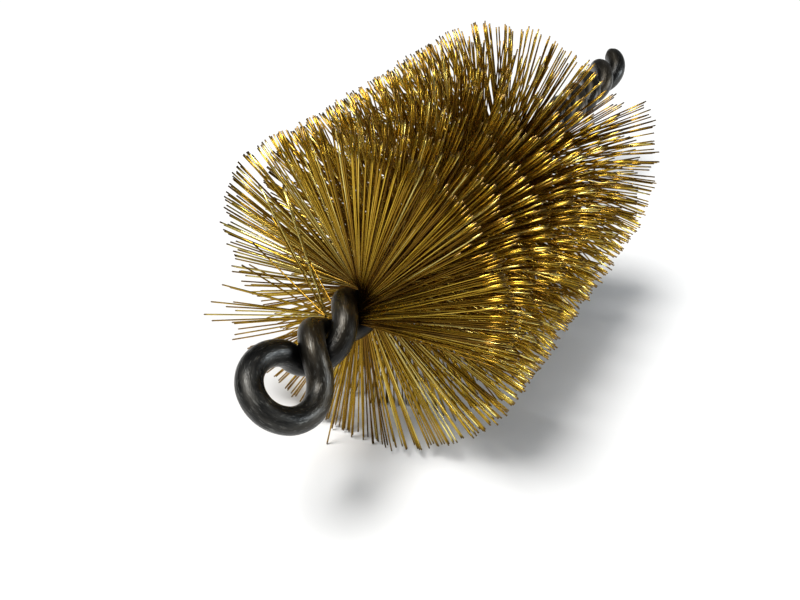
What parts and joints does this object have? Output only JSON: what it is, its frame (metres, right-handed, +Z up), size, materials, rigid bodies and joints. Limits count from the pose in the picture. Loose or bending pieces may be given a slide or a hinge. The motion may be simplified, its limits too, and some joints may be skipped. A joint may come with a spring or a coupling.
{
  "type": "twisted-wire brass brush",
  "caption": "Round brush of straight brass wires held in a twisted steel stem wire that is bent into an eye at one end.",
  "frame": {"origin": "on the surface that the brush lies on, below the middle of its length", "axes": "+X along the stem from the eye to the shank's end, +Z up, away from the surface it lies on"},
  "size_m": [0.152, 0.06, 0.06],
  "materials": {
    "stem": "dark oxidised steel wire, satin, with brownish patches; bare grey steel at the sheared ends",
    "bristles": "drawn brass wire, bright, with slightly tarnished golden-olive tone and dark cut tips"
  },
  "bodies": {
    "root": {"stem_eye": "stem", "stem_legs": "stem", "bristle_fan_01": "bristles", "bristle_fan_02": "bristles", "bristle_fan_03": "bristles", "bristle_fan_04": "bristles", "bristle_fan_05": "bristles", "bristle_fan_06": "bristles", "bristle_fan_07": "bristles", "bristle_fan_08": "bristles", "bristle_fan_09": "bristles", "bristle_fan_10": "bristles", "bristle_fan_11": "bristles", "bristle_fan_12": "bristles", "bristle_fan_13": "bristles", "bristle_fan_14": "bristles", "bristle_fan_15": "bristles", "bristle_fan_16": "bristles", "bristle_fan_17": "bristles", "bristle_fan_18": "bristles", "bristle_fan_19": "bristles", "bristle_fan_20": "bristles", "bristle_fan_21": "bristles", "bristle_fan_22": "bristles"}
  },
  "joints": []
}
